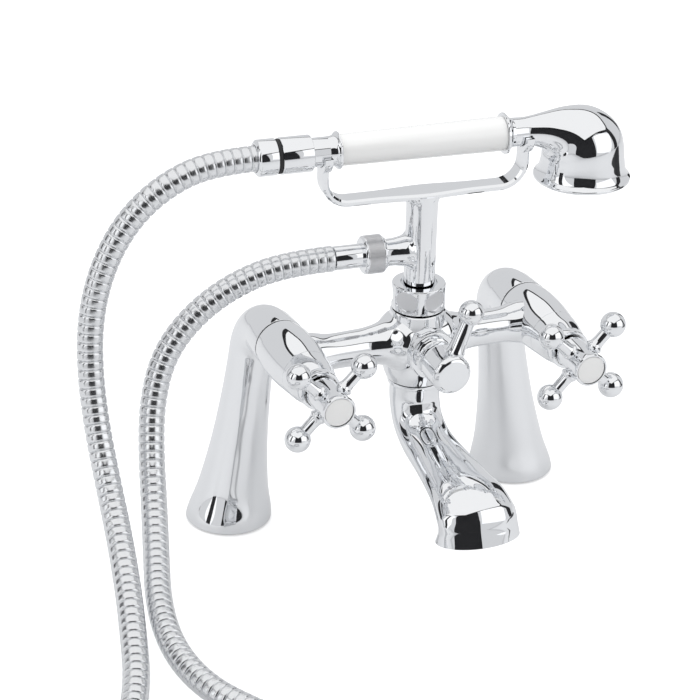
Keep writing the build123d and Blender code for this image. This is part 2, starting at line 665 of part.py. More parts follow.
rose_axis = riser * frame((head_axis, 0, handset_height - head_drop), (1, 0, 0), (0, 0, 1))
head = loft([head_section(row) for row in head_shares])
lip_top = head_drop * (1 - head_shares[-1][1])
head += lathe(rose_axis, [(0, 0), (0, head_mouth_radius - overrun / 2), (overrun / 2, head_mouth_radius),
                          (lip_top, head_mouth_radius), (lip_top, 0)])
rose_base = rose_recess
rose_top = rose_base + rose_thickness
head -= tube(rose_axis, -overrun, rose_top, rose_seal_radius + seat_gap)
save("shower_head", head)
rose = tube(rose_axis, rose_base, rose_top, rose_radius)
for ring, count in enumerate(rose_ring_counts):
    for index in range(count):
        angle = 2 * pi * index / count
        spot = Pos(ring * rose_ring_pitch * cos(angle), ring * rose_ring_pitch * sin(angle), rose_base)
        rose -= rose_axis * (spot * Cylinder(rose_hole_radius, rose_thickness))
save("rose_plate", rose)
save("rose_seal", tube(rose_axis, rose_base, rose_top, rose_seal_radius, rose_radius + seat_gap))

# Hose swivel
ring_back = swivel_split - swivel_ring_width / 2
ring_front = swivel_split + swivel_ring_width / 2
wall_end = ring_front + swivel_wall
cup = lathe(
    handset, [(ring_front, swivel_journal_radius + run_gap), (ring_front, swivel_radius)],
    [(tail_neck_end - overrun / 2, swivel_radius), (tail_neck_end, swivel_radius - overrun / 2),
     (tail_neck_end, tail_thread_radius + seat_gap), (wall_end, tail_thread_radius + seat_gap),
     (wall_end, swivel_journal_radius + run_gap)])
save("swivel_cup", cup)
journal_end = wall_end + face_gap + swivel_flange
mouth_end = swivel_front_end + swivel_mouth_depth
sleeve = lathe(
    handset, [(swivel_front_end, swivel_mouth_radius), (swivel_front_end, swivel_radius - swivel_edge)],
    ((swivel_front_end, swivel_radius - swivel_edge),
     (swivel_front_end + swivel_edge * 0.3, swivel_radius - swivel_edge * 0.3),
     (swivel_front_end + swivel_edge, swivel_radius)),
    [(ring_back, swivel_radius), (ring_back, swivel_journal_radius),
     (wall_end + face_gap, swivel_journal_radius), (wall_end + face_gap, swivel_flange_radius),
     (journal_end, swivel_flange_radius), (journal_end, hose_bore), (mouth_end, hose_bore),
     (mouth_end, swivel_mouth_radius)])
save("swivel_sleeve", sleeve)
save("swivel_ring", tube(handset, ring_back, ring_front - face_gap, swivel_ring_radius, swivel_journal_radius + seat_gap))

# Shower hose
hose_level = hose_radius + hose_lift


def arc_path(points):
    """Straight runs joined by tangent arcs, each as large as its two runs allow."""
    radii = []
    for back, corner, ahead in zip(points, points[1:], points[2:]):
        into = Vector(*corner) - Vector(*back)
        out = Vector(*ahead) - Vector(*corner)
        half_turn = radians(into.get_angle(out)) / 2
        radii.append(arc_share * min(into.length, out.length) / tan(half_turn))
    return FilletPolyline(*points, radius=radii), min(radii)


def smooth_share(value, start, end):
    share = min(max((value - start) / (end - start), 0), 1)
    return share * share * (3 - 2 * share)


def coil_corner(index):
    angle = coil_first_angle + (coil_last_angle - coil_first_angle) * index / coil_points
    climb = coil_climb * smooth_share(angle, climb_first_angle, climb_last_angle)
    climb += coil_exit * max(0, (angle - exit_first_angle) / (coil_last_angle - exit_first_angle))
    return (coil_centre[0] + coil_radius * cos(radians(angle)),
            coil_centre[1] + coil_radius * sin(radians(angle)), hose_level + climb)


def middle(one, other):
    return tuple((a + b) / 2 for a, b in zip(one, other))


def along_branch(place, distance):
    return tuple((place * Pos(0, 0, distance)).position)


coil_corners = [coil_corner(index) for index in range(coil_points + 1)]
handset_points = [along_branch(handset, mouth_end), along_branch(handset, mouth_end - hose_straight), *handset_route]
outlet_points = [along_branch(branch, ferrule_front), along_branch(branch, ferrule_front + outlet_straight),
                 *outlet_route]
coil_in = middle(handset_points[-1], coil_corners[0])
coil_out = middle(outlet_points[-1], coil_corners[-1])
hose_total = 0
trail = []
for node, points in (("hose_handset_run", [*handset_points, coil_in]), ("hose_coil", [coil_in, *coil_corners, coil_out]),
                     ("hose_outlet_run", [*outlet_points, coil_out])):
    path, least = arc_path(points)
    start = Plane(origin=path @ 0, z_dir=path % 0)
    run = sweep(start * (Circle(hose_radius) - Circle(hose_bore)), path=path)
    volume = pi * (hose_radius ** 2 - hose_bore ** 2) * path.length
    print(node, "length", round(path.length), "least bend", round(least), "volume share", round(run.volume / volume, 4))
    hose_total += path.length
    steps = round(path.length / gap_step)
    spots = [path @ (step / steps) for step in range(steps + 1)]
    trail += spots[::-1] if node == "hose_outlet_run" else spots
    save(node, run)
least_gap = min((one - other).length for index, one in enumerate(trail)
                for other in trail[index + round(gap_span / gap_step):]) - 2 * hose_radius
print("hose length", round(hose_total), "least gap to itself", round(least_gap, 2))
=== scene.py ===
# %% [markdown]
# # A bath shower mixer in chrome
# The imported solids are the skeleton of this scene. Polished metal shows every facet, so each piece
# that the eye can reach is drawn again here with a smooth skin, from the same sizes, and the solids
# inside stay as they are. Lengths are written in millimetres and turned to metres where they are used.

# %% Load the solids
import json
from math import cos, pi, radians, sin, sqrt

import bpy
from mathutils import Matrix, Vector


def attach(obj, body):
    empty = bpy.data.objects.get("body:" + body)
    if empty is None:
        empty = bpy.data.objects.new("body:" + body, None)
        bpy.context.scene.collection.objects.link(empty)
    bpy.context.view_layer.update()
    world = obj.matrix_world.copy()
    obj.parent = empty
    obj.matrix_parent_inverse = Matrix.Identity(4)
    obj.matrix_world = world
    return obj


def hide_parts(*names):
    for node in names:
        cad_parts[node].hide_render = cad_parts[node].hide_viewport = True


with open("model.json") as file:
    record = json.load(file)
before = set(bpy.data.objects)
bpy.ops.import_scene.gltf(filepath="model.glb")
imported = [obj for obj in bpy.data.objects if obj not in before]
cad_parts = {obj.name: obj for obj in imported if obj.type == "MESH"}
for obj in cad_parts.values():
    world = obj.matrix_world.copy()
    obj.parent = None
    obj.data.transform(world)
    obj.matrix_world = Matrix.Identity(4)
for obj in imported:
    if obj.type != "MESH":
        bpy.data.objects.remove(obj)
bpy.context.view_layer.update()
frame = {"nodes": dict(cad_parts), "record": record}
nodes = frame["nodes"]

# %% [markdown]
# ## Placements
# The mixer hangs on a few axes: two valve axes that point to the user, the crossbar, the upright
# riser and the handset. The riser was left turned by four degrees, and everything above it turns too.

# %% Axes of the mixer
mm = 0.001
valve_height = 126.0
valve_spread = 75.0  # from the middle to each valve
bar_forward = 54.4  # from the valves' plane to the crossbar
riser_turn = radians(4.2)
handset_height = 245.2
branch_height = 181.0


def place(origin, x_dir, z_dir):
    """A matrix whose Z axis points along z_dir, with its X axis near x_dir."""
    z = Vector(z_dir).normalized()
    x = Vector(x_dir)
    x = (x - z * x.dot(z)).normalized()
    y = z.cross(x)
    turn = Matrix((x, y, z)).transposed().to_4x4()
    return Matrix.Translation(Vector(origin)) @ turn


riser = place((0, -bar_forward, 0), (cos(riser_turn), -sin(riser_turn), 0), (0, 0, 1))
chamber = place((0, -bar_forward, 0), (1, 0, 0), (0, 0, 1))
diverter = place((0, 0, valve_height), (1, 0, 0), (0, -1, 0))
handset = riser @ place((0, 0, handset_height), (0, 1, 0), (1, 0, 0))
branch = riser @ place((0, 0, branch_height), (0, 1, 0), (-1, 0, 0))
valves = {"hot": place((-valve_spread, 0, valve_height), (1, 0, 0), (0, -1, 0)),
          "cold": place((valve_spread, 0, valve_height), (1, 0, 0), (0, -1, 0))}
print("handset axis starts at", [round(v) for v in handset.translation])

# %% [markdown]
# ## Finishes
# Chrome is a mirror with a faint cool tint, and it only looks like metal when it has something light
# and something dark to mirror. A little uneven polish keeps it from looking like glass. The polish is
# a node group, because the chrome, the hose and the brass all use it with their own strength.

# %% Uneven polish as a node group
def polish_group():
    """Noise in the object's own space, as a roughness around a value."""
    group = bpy.data.node_groups.new("uneven polish", "ShaderNodeTree")
    for name, value in (("Roughness", 0.05), ("Variation", 0.03), ("Scale", 60.0)):
        socket = group.interface.new_socket(name, in_out="INPUT", socket_type="NodeSocketFloat")
        socket.default_value = value
    group.interface.new_socket("Roughness", in_out="OUTPUT", socket_type="NodeSocketFloat")
    start = group.nodes.new("NodeGroupInput")
    end = group.nodes.new("NodeGroupOutput")
    where = group.nodes.new("ShaderNodeTexCoord")
    noise = group.nodes.new("ShaderNodeTexNoise")
    noise.inputs["Detail"].default_value = 3.0
    amount = group.nodes.new("ShaderNodeMath")
    amount.operation = "MULTIPLY_ADD"
    group.links.new(where.outputs["Object"], noise.inputs["Vector"])
    group.links.new(start.outputs["Scale"], noise.inputs["Scale"])
    group.links.new(noise.outputs["Fac"], amount.inputs[0])
    group.links.new(start.outputs["Variation"], amount.inputs[1])
    group.links.new(start.outputs["Roughness"], amount.inputs[2])
    group.links.new(amount.outputs[0], end.inputs["Roughness"])
    return group


polish = polish_group()


def finish(name, colour, metallic, roughness, variation=0.02, scale=60.0, coat=0.0):
    """A material whose roughness varies a little over the surface."""
    material = bpy.data.materials.new(name)
    material.use_nodes = True
    shader = material.node_tree.nodes["Principled BSDF"]
    shader.inputs["Base Color"].default_value = (*colour, 1)
    shader.inputs["Metallic"].default_value = metallic
    shader.inputs["Coat Weight"].default_value = coat
    shader.inputs["Coat Roughness"].default_value = 0.03
    node = material.node_tree.nodes.new("ShaderNodeGroup")
    node.node_tree = polish
    node.inputs["Roughness"].default_value = roughness
    node.inputs["Variation"].default_value = variation
    node.inputs["Scale"].default_value = scale
    material.node_tree.links.new(node.outputs["Roughness"], shader.inputs["Roughness"])
    return material


finishes = {
    "chrome": finish("polished chrome", (0.86, 0.87, 0.885), 1.0, 0.025, 0.02, 45.0),
    "hose": finish("polished hose", (0.79, 0.80, 0.815), 1.0, 0.19, 0.05, 90.0),
    "satin": finish("milled chrome", (0.74, 0.74, 0.75), 1.0, 0.34, 0.08, 150.0),
    "brass": finish("machined brass", (0.72, 0.53, 0.24), 1.0, 0.28, 0.10, 120.0),
    "ceramic": finish("white glaze", (0.86, 0.855, 0.84), 0.0, 0.10, 0.03, 25.0, coat=0.6),
    "rubber": finish("black rubber", (0.012, 0.012, 0.013), 0.0, 0.5, 0.15, 150.0),
    "plastic": finish("white plastic", (0.80, 0.80, 0.78), 0.0, 0.35, 0.05, 60.0)}
slots = {entry["node"]: entry["material_slot"] for entry in frame["record"]["subparts"]}
for node, solid in nodes.items():
    solid.data.materials.clear()
    solid.data.materials.append(finishes[slots[node]])
print("finishes", sorted(finishes))

# %% [markdown]
# ## Turned and skinned pieces
# Nearly every piece of a tap is turned on a lathe or cast along a curved spine. A turned piece needs an
# outline of (distance along the axis, radius) points, with its sharp corners eased as polishing eases
# them. A cast piece is a skin over rings. Both end as one mesh with even quads, which mirrors cleanly.

# %% Helpers for outlines
longest_cut = 0.45  # the share of an edge that the rounding of one corner may take
no_length, nearly_straight = 1e-6, radians(172)


def eased(outline, ease=0.35, parts=3):
    """Round every corner of an outline by about ease, unless it is nearly straight."""
    points = [Vector(p) for p in outline]
    result = [points[0]]
    for before, corner, after in zip(points, points[1:], points[2:]):
        back, ahead = before - corner, after - corner
        reach = min(ease, back.length * longest_cut, ahead.length * longest_cut)
        if min(back.length, ahead.length) < no_length or back.angle(ahead) > nearly_straight:
            result.append(corner)
            continue
        one, two = corner + back.normalized() * reach, corner + ahead.normalized() * reach
        for step in range(parts + 1):
            t = step / parts
            result.append(one * (1 - t) ** 2 + corner * 2 * t * (1 - t) + two * t ** 2)
    result.append(points[-1])
    return result


def smooth(share):
    """A share that starts and ends gently."""
    share = min(max(share, 0), 1)
    return share * share * (3 - 2 * share)


def curve_through(points, parts=8):
    """A smooth curve through points of any dimension, with parts steps between two of them."""
    points = [Vector(p) for p in points]
    ends = [points[0] * 2 - points[1], *points, points[-1] * 2 - points[-2]]
    result = []
    for a, b, c, d in zip(ends, ends[1:], ends[2:], ends[3:]):
        for step in range(parts):
            t = step / parts
            result.append(b + ((c - a) * t + (a * 2 - b * 5 + c * 4 - d) * t ** 2
                               + (b * 3 - a - c * 3 + d) * t ** 3) * 0.5)
    return [*result, points[-1]]


# %% Helpers for meshes
steps_round, steps_small, ball_rows = 96, 48, 32
thinnest = 0.02  # no ring is thinner, so that none closes to a point


def make_mesh(name, points, faces, matter, sharp):
    """An object from points in millimetres, smooth but for the edges sharper than sharp degrees."""
    mesh = bpy.data.meshes.new(name)
    mesh.from_pydata([p * mm for p in points], [], faces)
    mesh.validate()
    mesh.polygons.foreach_set("use_smooth", [True] * len(mesh.polygons))
    mesh.set_sharp_from_angle(angle=radians(sharp))
    mesh.materials.append(finishes[matter])
    obj = bpy.data.objects.new(name, mesh)
    bpy.context.collection.objects.link(obj)
    return obj


def oval(matrix, wide, deep, along=0.0, steps=steps_round):
    """Points of an ellipse around the Z axis of matrix."""
    turns = [2 * pi * i / steps for i in range(steps)]
    return [matrix @ Vector((wide * cos(turn), deep * sin(turn), along)) for turn in turns]


def ring_skin(rings, closed=True):
    """Points and faces of a skin over rings with the same number of points."""
    count = len(rings[0])
    points = [p for ring in rings for p in ring]
    faces = []
    for row in range(len(rings) - 1):
        for i in range(count):
            j = (i + 1) % count
            here, there = row * count, (row + 1) * count
            faces.append((here + i, here + j, there + j, there + i))
    if closed:
        faces.append(tuple(reversed(range(count))))
        last = (len(rings) - 1) * count
        faces.append(tuple(range(last, last + count)))
    return points, faces


def turned(matrix, outline, steps=steps_round):
    """Points and faces of an outline of (distance, radius) turned about the Z axis of matrix."""
    rings = []
    for along, radius in outline:
        radius = max(radius, thinnest)
        rings.append(oval(matrix, radius, radius, along, steps))
    return ring_skin(rings)


def joined(*shapes):
    """Several shapes as one."""
    points, faces = [], []
    for some_points, some_faces in shapes:
        base = len(points)
        points += some_points
        faces += [tuple(base + i for i in face) for face in some_faces]
    return points, faces


def piece(name, shape, body, *stands_for, matter="chrome", sharp=32):
    """A finished mesh that rides on a body and stands for some of the solids."""
    obj = make_mesh(name.replace(" ", "_"), *shape, matter, sharp)
    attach(obj, body)
    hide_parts(*stands_for)
    return obj


def ball(matrix, radius):
    """A ball around the origin of matrix."""
    turns = [pi * i / ball_rows for i in range(ball_rows + 1)]
    return turned(matrix, [(-radius * cos(turn), radius * sin(turn)) for turn in turns], steps_small)


print("a circle has", steps_round, "sides")

# %% [markdown]
# ## Pillars
# Each pillar is one casting: a bell foot that narrows to a neck, leans in, and turns forward in a tight
# elbow. It could be a curve with a varying radius, but the foot is cut level on the deck while the
# elbow is cut upright, so rings placed one by one follow it better.

# %% Pillars and their collars
foot_radius, neck_radius, elbow_radius, elbow_bend = 24.8, 13.3, 13.9, 20.0
seal, seal_inset, seal_bore = 1.6, 1.6, 13.5
rim_level, rim_ease = 0.7, 0.4
pillar_lean = 16.0  # how far the foot stands outside the valve
collar_back, collar_front, barrel_back = 19.9, 37.0, 37.9
bend_steps = 24
bend_base = valve_height - elbow_bend
# shares of the height, and how far the radius is on its way from the neck's to the foot's
flare = [(0, 1), (0.05, 0.93), (0.2, 0.60), (0.45, 0.275), (0.7, 0.09), (0.88, 0.02), (1, 0)]


def disc_ring(centre, normal, wide, deep):
    """A ring around centre, level in X, that faces along normal in the YZ plane."""
    return oval(place(centre, (1, 0, 0), normal), wide, deep)


def pillar_x(side, z):
    """Where the leaning pillar's middle is at a height."""
    return side * (valve_spread + pillar_lean * (valve_height - z) / valve_height)


def pillar(side):
    """The bell, the neck and the elbow as one row of rings."""
    rings = []
    stations = curve_through([(seal + h * (bend_base - seal), neck_radius + f * (foot_radius - neck_radius))
                              for h, f in flare], 10)
    rim = [Vector((rim_level, foot_radius - rim_ease)), Vector((rim_level + rim_ease, foot_radius))]
    for z, radius in [*rim, *stations[1:]]:
        rings.append(disc_ring((pillar_x(side, z), 0, z), (0, 0, 1), radius, radius))
    for step in range(1, bend_steps + 1):
        turn = radians(90 * step / bend_steps)
        y, z = -elbow_bend * (1 - cos(turn)), bend_base + elbow_bend * sin(turn)
        radius = neck_radius + (elbow_radius - neck_radius) * step / bend_steps
        rings.append(disc_ring((pillar_x(side, z), y, z), (0, -sin(turn), cos(turn)), radius, radius))
    return ring_skin(rings)


for name, side in (("hot", -1), ("cold", 1)):
    piece(f"{name} pillar", pillar(side), "body", f"{name}_pillar")
    under = place((pillar_x(side, 0), 0, 0), (1, 0, 0), (0, 0, 1))
    foot_seal = turned(under, [(0, seal_bore), (0, foot_radius - seal_inset), (seal, foot_radius - seal_inset),
                               (seal, seal_bore)])
    piece(f"{name} foot seal", foot_seal, "body", f"{name}_foot_seal", matter="rubber")
    collar = eased([(collar_back, 11), (collar_back, 14.5), (collar_front, 15.3), (collar_front, 11)], 0.35, 4)
    piece(f"{name} union collar", turned(valves[name], collar), "body", f"{name}_union_collar")
    washer = eased([(collar_front, 8), (collar_front, 15.0), (barrel_back, 15.0), (barrel_back, 8)], 0.2)
    piece(f"{name} union seal", turned(valves[name], washer), "body", f"{name}_union_seal", matter="rubber")
print("pillars stand on a foot of", 2 * foot_radius, "mm")

# %% [markdown]
# ## Body
# The body is the casting in the middle: two valve barrels, a crossbar that swells into them, and the
# mixing chamber with its neck and diverter boss. They are separate skins that pass into each other,
# as the metal does where it was cast, and together they stand for one solid.

# %% Barrels, crossbar and chamber
barrel_front, boss_front = 76.1, 74.2
chamber_base, chamber_tall, chamber_radius = 103.0, 43.2, 19.2
ring_top, groove_top, spigot_top = 103.9, 145.2, 154.2
barrel_line = curve_through([(barrel_back, 15.1), (barrel_back + 9.5, 16.0), (barrel_back + 22.9, 15.8),
                             (barrel_front, 14.3)], 10)
barrel_outline = [(barrel_back, 8), *barrel_line, (barrel_front, 8)]
bar_line = curve_through([(0, 18), (12.75, 18), (21, 12.65), (30, 10.6), (39, 10.2), (52.5, 10.2),
                          (63.75, 12.4), (valve_spread, 12.4)], 10)
# shares of the chamber's height and of its largest radius
swell = [(0, 0.86), (0.13, 0.96), (0.3, 1.0), (0.5, 0.98), (0.7, 0.915), (0.87, 0.84), (1, 0.787)]
chamber_line = curve_through([(chamber_base + chamber_tall * h, chamber_radius * r) for h, r in swell], 10)
chamber_outline = [(ring_top, 8), (ring_top, 14.2), (103.2, 16.3), *chamber_line[1:-3], (145.0, 14.9),
                   (groove_top, 14.6), (groove_top, 12.3), (spigot_top, 12.3), (spigot_top, 2)]
boss = eased([(54, 13.6), (boss_front, 13.6), (boss_front, 6)], 0.5)
parts = [turned(chamber, chamber_outline), turned(diverter, boss)]
for name, side in (("hot", -1), ("cold", 1)):
    parts.append(turned(valves[name], barrel_outline))
    arm = place((0, -bar_forward, valve_height), (0, 1, 0), (side, 0, 0))
    parts.append(turned(arm, bar_line))
piece("mixer body", joined(*parts), "body", "mixer_body")

# %% Shrouds and lock rings in front of the barrels
shroud_front, lock_front = 92.1, 96.9
shroud = [(barrel_front, 10.5), (barrel_front, 14.0),
          *curve_through([(76.4, 14.3), (84.9, 13.3), (shroud_front, 11.7)], 8), (shroud_front, 10)]
lock = eased([(shroud_front, 10), (shroud_front, 11.5), (lock_front, 11.5), (lock_front, 10)], 0.6)
for name, valve in valves.items():
    piece(f"{name} shroud", turned(valve, shroud), "body", f"{name}_shroud")
    piece(f"{name} lock ring", turned(valve, lock), "body", f"{name}_bonnet")
print("valves end", lock_front, "mm in front of the pillars")

# %% [markdown]
# ## Cross handles
# A turned hub carries four ball-ended arms on beaded roots, and a plain white disc is let into its face.
# Both handles share one hub, one arm and one disc, and only the angle of their first arm is their own.

# %% Hubs, arms and discs
hub_back, arm_level, hub_front, disc_seat = 98.3, 111, 123.5, 121.7
tip_reach, tip_radius = 26.7, 7.2
hub = [(hub_back, 3), (hub_back, 8.4), (98.8, 9.0), (arm_level, 9.0), (120, 9.4), (122.4, 9.7), (123.1, 9.6),
       (hub_front, 9.2), (hub_front, 8.5), (122.9, 8.45), (disc_seat, 8.45), (disc_seat, 3)]
arm_line = [(8, 3.4), (9.4, 4.2), *curve_through([(9.9, 4.7), (10.9, 4.75), (12.2, 3.9), (14.6, 3.5)], 5),
            (28, 3.5)]
disc = eased([(121.75, 1), (121.75, 8.0), (123.15, 8.0), (123.15, 0)], 0.3)
for name, first in (("hot", 45.5), ("cold", 47.0)):
    valve = valves[name]
    piece(f"{name} hub", turned(valve, hub), f"{name}_handle", f"{name}_handle_hub")
    arms = []
    for turn in range(4):
        angle = radians(first + 90 * turn)
        out = valve @ place((0, 0, arm_level), (0, 0, 1), (cos(angle), sin(angle), 0))
        arms.append(turned(out, arm_line, steps_small))
        arms.append(ball(out @ Matrix.Translation((0, 0, tip_reach)), tip_radius))
    piece(f"{name} arms", joined(*arms), f"{name}_handle", f"{name}_handle_arms")
    piece(f"{name} disc", turned(valve, disc), f"{name}_handle", f"{name}_index_disc", matter="ceramic")
print("arm tips reach", tip_reach + tip_radius, "mm from the valve's axis")

# %% [markdown]
# ## Diverter
# A flange covers the boss, a waisted step carries the round knob, and a tapered lever with a ball leans
# to the cold side.

# %% Diverter pieces
step_front, knob_back, knob_edge, knob_front = 86.8, 86.9, 102.1, 105.5
lever_lean, lever_level, lever_reach, lever_tip = 20.5, 97.5, 35.7, 7.1
flange = [*eased([(boss_front, 4), (boss_front, 14.0), (78.6, 14.0), (78.6, 11.0)], 0.9, 5),
          *curve_through([(79.0, 10.6), (79.8, 9.6), (82.7, 8.9), (step_front, 9.6)], 6), (step_front, 4)]
piece("diverter flange", turned(diverter, flange), "body", "diverter_flange")
face_edge = curve_through([(knob_edge, 11.3), (103.2, 11.1), (104.4, 10.2), (105.3, 8.9), (knob_front, 7.8)], 5)
knob = [(knob_back, 4), (knob_back, 10.4), (87.8, 11.3), (knob_edge, 11.3), *face_edge, (knob_front, 0)]
piece("diverter knob", turned(diverter, knob), "diverter", "diverter_knob")
swing = radians(90 - lever_lean)
lever_out = diverter @ place((0, 0, lever_level), (0, 0, 1), (cos(swing), sin(swing), 0))
lever_line = [(10.4, 4.6), (11.4, 5.3), (12.6, 5.2), (13.2, 4.8), (33, 3.7)]
lever_end = ball(lever_out @ Matrix.Translation((0, 0, lever_reach)), lever_tip)
lever = joined(turned(lever_out, lever_line, steps_small), lever_end)
piece("diverter lever", lever, "diverter", "diverter_lever")
print("lever leans", lever_lean, "degrees")

# %% [markdown]
# ## Spout
# The spout drops from the chamber, sweeps forward and flattens, then turns down into an oval mouth.
# Rings whose width and depth change one by one give that fish-mouthed form. Below the crown they follow
# straight lines, because the front widens evenly to its lip and mirrors one unbroken stripe.

# %% Spout
ring_base, drop, reach = 99.6, 52.6, 91.0
mouth_wide, mouth_deep = 24.5, 15.5
# shares of the reach and the drop, the turn in degrees, and shares of the mouth's width and depth
spout_rows = [
    (0.0, 0.0, 0, 0.584, 0.923), (0.005, 0.20, 8, 0.58, 0.91), (0.07, 0.42, 42, 0.582, 0.845),
    (0.22, 0.555, 75, 0.604, 0.742), (0.45, 0.60, 84, 0.673, 0.68), (0.69, 0.632, 86, 0.784, 0.665),
    (0.845, 0.67, 72, 0.869, 0.742), (0.965, 0.765, 43, 0.931, 0.885), (0.99, 0.82, 28, 0.935, 0.845),
    (1.0, 0.88, 14, 0.945, 0.838), (1.0, 1.0, 6, 1.0, 1.0)]


def spout_ring(row, inset=0.0):
    """A ring of the spout, or of its inside where inset is more than nothing."""
    along, down, turn, wide, deep = row
    turn = radians(turn)
    centre = (0, -bar_forward - along * reach, ring_base - down * drop)
    return disc_ring(centre, (0, -sin(turn), -cos(turn)), wide * mouth_wide - inset, deep * mouth_deep - inset)


smooth_rows = curve_through(spout_rows[:-3], 8)
face_rows = [Vector(one).lerp(Vector(two), step / 4)
             for one, two in zip(spout_rows[-4:], spout_rows[-3:]) for step in range(1, 5)]
rings = [spout_ring(row) for row in [*smooth_rows, *face_rows]]
# the lip, and a shallow hollow behind it
inside = ((-1, 0.6), (-1, 2.2), (-2, 2.6), (-3, 5.0), (-3, 11.0))
rings += [spout_ring(spout_rows[row], inset) for row, inset in inside]
spout_collar = eased([(ring_base, 8), (ring_base, 15.2), (ring_base + 0.5, 15.7), (102.2, 15.7), (102.2, 13.8),
                      (ring_top, 13.8), (ring_top, 8)], 0.4)
piece("spout", joined(ring_skin(rings), turned(chamber, spout_collar)), "body", "spout")
print("spout mouth", 2 * mouth_wide, "by", 2 * mouth_deep, "mm")

# %% [markdown]
# ## Riser nut
# The union nut under the riser has five flats milled into its side for a spanner. A flat on a round nut
# ends in an oval. A modifier could cut them, but the mesh would then have long thin faces, which mirror
# badly. Here each upright column of the nut's side puts its points on the oval's edge instead, and a thin
# oval of milled metal lies on each flat.

# %% Nut with its flats
nut_base, nut_high, nut_radius, nut_ease, nut_bore, nut_sides = 146.2, 14.8, 15.0, 0.6, 10.4, 360
flat_wide, flat_tall, flat_depth, flat_middle, flat_wall, first_flat = 7.75, 6.3, 1.9, 7.5, 0.3, 1.7
flats = [radians(first_flat + 72 * i) for i in range(5)]
bore_seen = 3.0
oval_side, oval_end, oval_sunk, oval_proud = 0.7, 0.6, -0.2, 0.04  # how an oval sits on its flat


def nut_column(angle):
    """Heights and radii up the side of the nut at one angle, with the edges of a flat as rows of their own."""
    off = min(abs((angle - direction + pi) % (2 * pi) - pi) for direction in flats)
    across = nut_radius * sin(off) / flat_wide
    half = flat_tall * sqrt(max(1 - across ** 2, 0.001))
    low, high = flat_middle - half, flat_middle + half
    corner = [(1 - cos(pi / 2 * step / 4), 1 - sin(pi / 2 * step / 4)) for step in range(5)]
    column = [(nut_ease * rise, nut_radius - nut_ease * inset) for rise, inset in corner]
    column += [(nut_ease + (low - nut_ease) * step / 4, nut_radius) for step in range(1, 5)]
    floor = min(nut_radius, (nut_radius - flat_depth) / cos(off))
    inner = half - min(flat_wall, half / 2)
    column += [(flat_middle + inner * (step / 6 - 1), floor) for step in range(13)]
    column += [(high + (nut_high - nut_ease - high) * step / 4, nut_radius) for step in range(5)]
    column += [(nut_high - nut_ease * rise, nut_radius - nut_ease * inset)
               for rise, inset in reversed(corner[:-1])]
    return [*column, (nut_high, nut_bore), (nut_high - bore_seen, nut_bore)]


def nut_skin():
    """The side, the top and the start of the bore. The chamber closes the nut below."""
    turns = [2 * pi * i / nut_sides for i in range(nut_sides)]
    columns = [nut_column(turn) for turn in turns]
    rings = [[chamber @ Vector((radius * cos(turn), radius * sin(turn), nut_base + z))
              for turn, (z, radius) in zip(turns, row)] for row in zip(*columns)]
    return ring_skin(rings, closed=False)


def milled_ovals():
    """A thin oval of milled metal on each flat."""
    ovals = []
    for direction in flats:
        face = chamber @ place((0, 0, nut_base + flat_middle), (0, 0, 1), (cos(direction), sin(direction), 0))
        wide, tall = flat_wide - oval_side, flat_tall - oval_end
        ovals.append(ring_skin([oval(face, tall, wide, nut_radius - flat_depth + height, steps_small)
                                for height in (oval_sunk, oval_proud)]))
    return joined(*ovals)


piece("riser nut", nut_skin(), "body", "riser_nut", sharp=24)
piece("riser nut flats", milled_ovals(), "body", "riser_nut", matter="satin")
print("nut has", len(flats), "flats")

# %% [markdown]
# ## Riser and cradle
# The riser carries a flat bar bent up at both ends, with a fork on each end for the handset to lie in.
# The bar is one ring of eight corners carried along its bent line, so that its bevelled edges run
# unbroken through the bends.

# %% Riser, strap and forks
strap_top, strap_thick, strap_wide, strap_bend, bevel = 217.0, 3.8, 11.5, 14.0, 1.1
strap_swell, swell_reach, strap_steps = 0.42, 30, 16  # the strap is wider near the stem
fork_reach, fork_thick, fork_bore, fork_outer, fork_foot = 57.8, 4.6, 8.4, 11.6, 236.5
fork_gap, fork_steps = 3, 48  # the ring's ends stay 3 degrees under the handset's middle
stem_radius, flange_radius, branch_radius, thread_radius = 8.8, 12.2, 7.7, 8.7
stem_line = [(156, 8), (156, flange_radius), (158.4, flange_radius), (158.5, stem_radius)]
flare_line = [*curve_through([(204.4, stem_radius), (208.6, 8.95), (211.4, 9.5), (213.3, 11.2)], 6),
              (215, 11.2)]
branch_line = [(6, 11.1), *curve_through([(7.0, 11.1), (10.1, 8.9), (15.8, branch_radius)], 6),
               (21, branch_radius), (21, thread_radius), (28, thread_radius), (28, 4)]


def stem():
    """The round stem, whose top widens along the strap only."""
    rings = []
    for z, wide in [*stem_line, *flare_line]:
        deep = wide if z < flare_line[0][0] else stem_radius
        rings.append(oval(riser, wide, deep, z))
    return ring_skin(rings)


